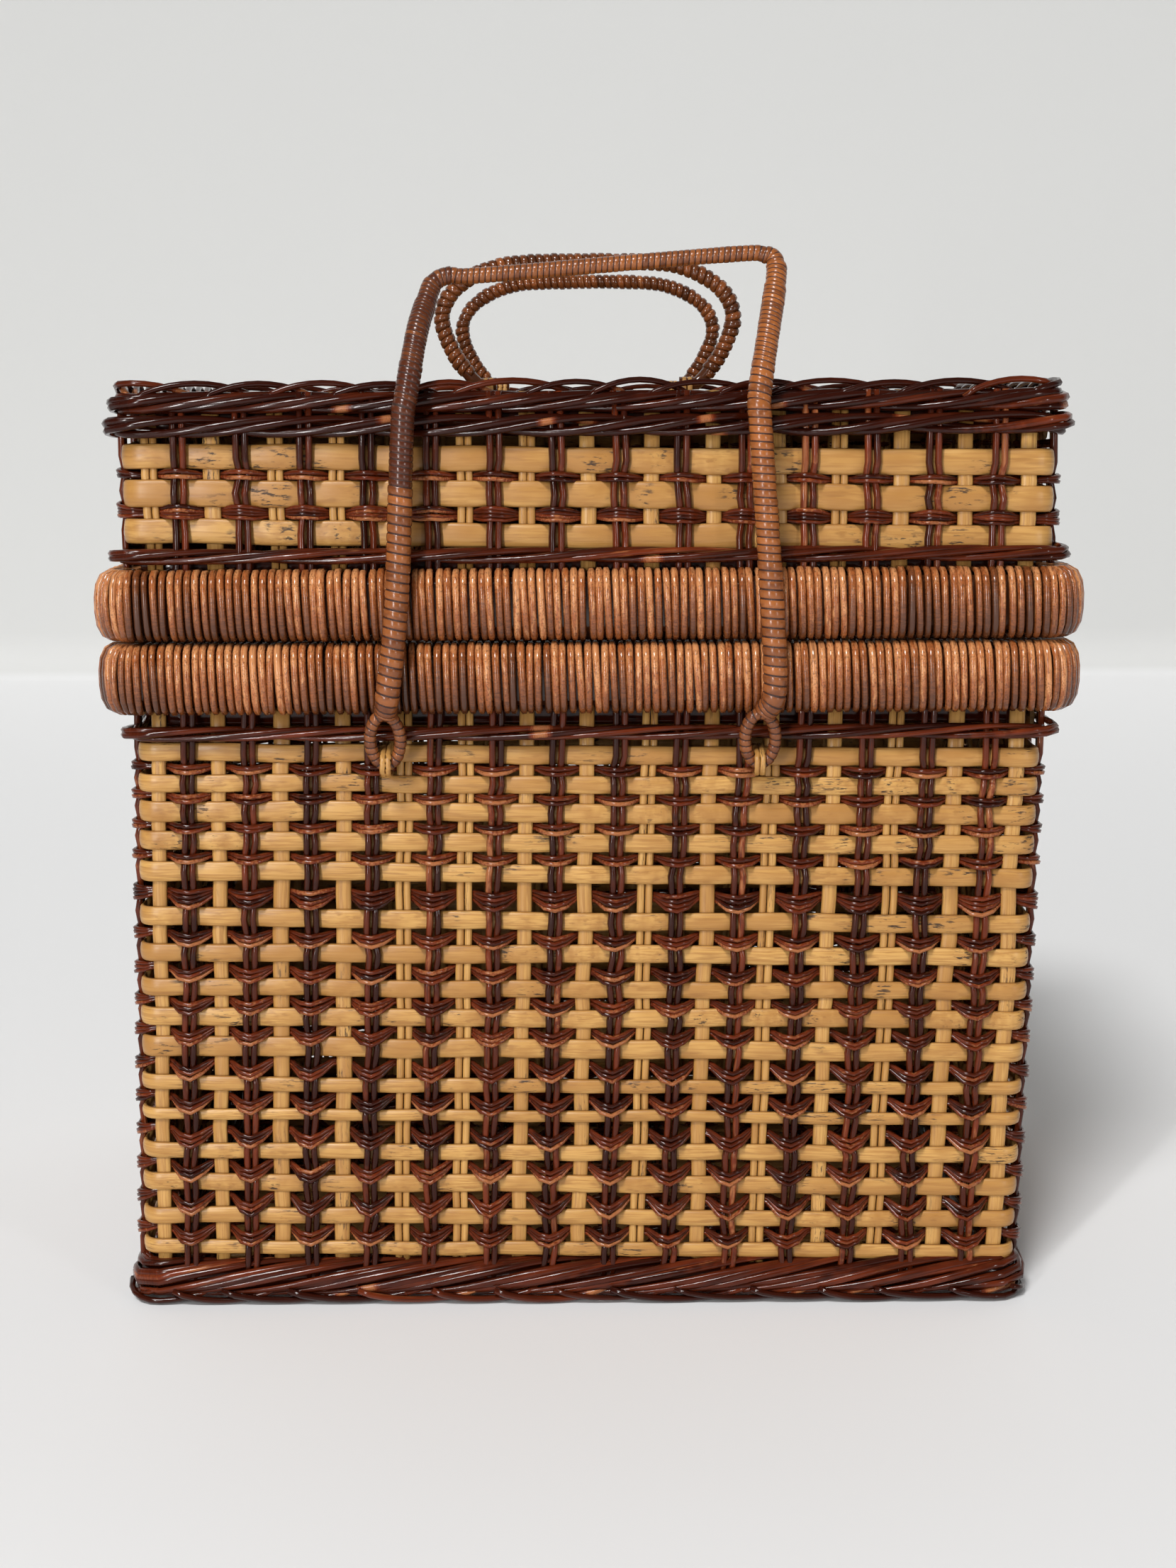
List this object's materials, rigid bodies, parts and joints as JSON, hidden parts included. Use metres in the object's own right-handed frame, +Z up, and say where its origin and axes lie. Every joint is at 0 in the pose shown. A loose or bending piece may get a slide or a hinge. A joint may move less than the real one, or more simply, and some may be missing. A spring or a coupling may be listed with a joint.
{
  "type": "picnic basket",
  "caption": "Rectangular woven rattan picnic basket with a deep hinged lid, wrapped rims, a bail tied to the front wall and folding wound handles on the lid.",
  "frame": {"origin": "middle of the underside, on the floor", "axes": "+Z up, the front wall with the bail faces -Y, +X to the right seen from the front"},
  "size_m": [0.381, 0.2872, 0.4187],
  "materials": {
    "dark_reed": "gloss varnish",
    "pale_cane": "satin varnish",
    "wrap_reed": "gloss varnish",
    "bail_cane": "gloss varnish",
    "hoop_wood": "plain"
  },
  "bodies": {
    "body": {"base_panel": "dark_reed", "base_border": "dark_reed", "body_dark_stakes_front": "dark_reed", "body_dark_stakes_right": "dark_reed", "body_dark_stakes_back": "dark_reed", "body_dark_stakes_left": "dark_reed", "body_pale_stakes_front": "pale_cane", "body_pale_stakes_right": "pale_cane", "body_pale_stakes_back": "pale_cane", "body_pale_stakes_left": "pale_cane", "body_pale_band": "pale_cane", "body_dark_weaver": "dark_reed", "body_wale": "dark_reed", "body_rim_hoop": "hoop_wood", "body_rim_wrap": "wrap_reed", "bail_tie_left": "pale_cane", "bail_tie_right": "pale_cane", "hinge_pin_left": "dark_reed", "hinge_pin_right": "dark_reed", "hinge_body_loop_left_inner": "pale_cane", "hinge_body_loop_left_outer": "pale_cane", "hinge_body_loop_right_inner": "pale_cane", "hinge_body_loop_right_outer": "pale_cane"},
    "lid": {"lid_dark_stakes_front": "dark_reed", "lid_dark_stakes_right": "dark_reed", "lid_dark_stakes_back": "dark_reed", "lid_dark_stakes_left": "dark_reed", "lid_pale_stakes_front": "pale_cane", "lid_pale_stakes_right": "pale_cane", "lid_pale_stakes_back": "pale_cane", "lid_pale_stakes_left": "pale_cane", "lid_pale_band": "pale_cane", "lid_dark_weaver": "dark_reed", "lid_wale": "dark_reed", "lid_lower_rope": "dark_reed", "lid_top_border": "dark_reed", "lid_top_panel": "dark_reed", "lid_rim_hoop": "hoop_wood", "lid_rim_wrap": "wrap_reed", "hinge_lid_loop_left": "pale_cane", "hinge_lid_loop_right": "pale_cane", "front_handle_tie_left": "pale_cane", "front_handle_tie_right": "pale_cane", "rear_handle_tie_left": "pale_cane", "rear_handle_tie_right": "pale_cane"},
    "bail": {"bail_rod": "bail_cane", "bail_leg_wrap_left": "bail_cane", "bail_leg_wrap_right": "bail_cane"},
    "front_handle": {"front_handle_core": "hoop_wood", "front_handle_winding": "dark_reed"},
    "rear_handle": {"rear_handle_core": "hoop_wood", "rear_handle_winding": "dark_reed"}
  },
  "joints": [
    {"name": "lid_hinge", "type": "hinge", "parent": "body", "child": "lid", "pos_m": [0, 0.1383, 0.269], "axis": [-1, 0, 0], "range_deg": [0, 105]},
    {"name": "bail_swing", "type": "hinge", "parent": "body", "child": "bail", "pos_m": [0, -0.132, 0.2218], "axis": [1, 0, 0], "range_deg": [0, 155]},
    {"name": "front_handle_fold", "type": "hinge", "parent": "lid", "child": "front_handle", "pos_m": [0, -0.075, 0.3667], "axis": [1, 0, 0], "range_deg": [-80, 80]},
    {"name": "rear_handle_fold", "type": "hinge", "parent": "lid", "child": "rear_handle", "pos_m": [0, 0.075, 0.3667], "axis": [1, 0, 0], "range_deg": [-80, 80]}
  ]
}
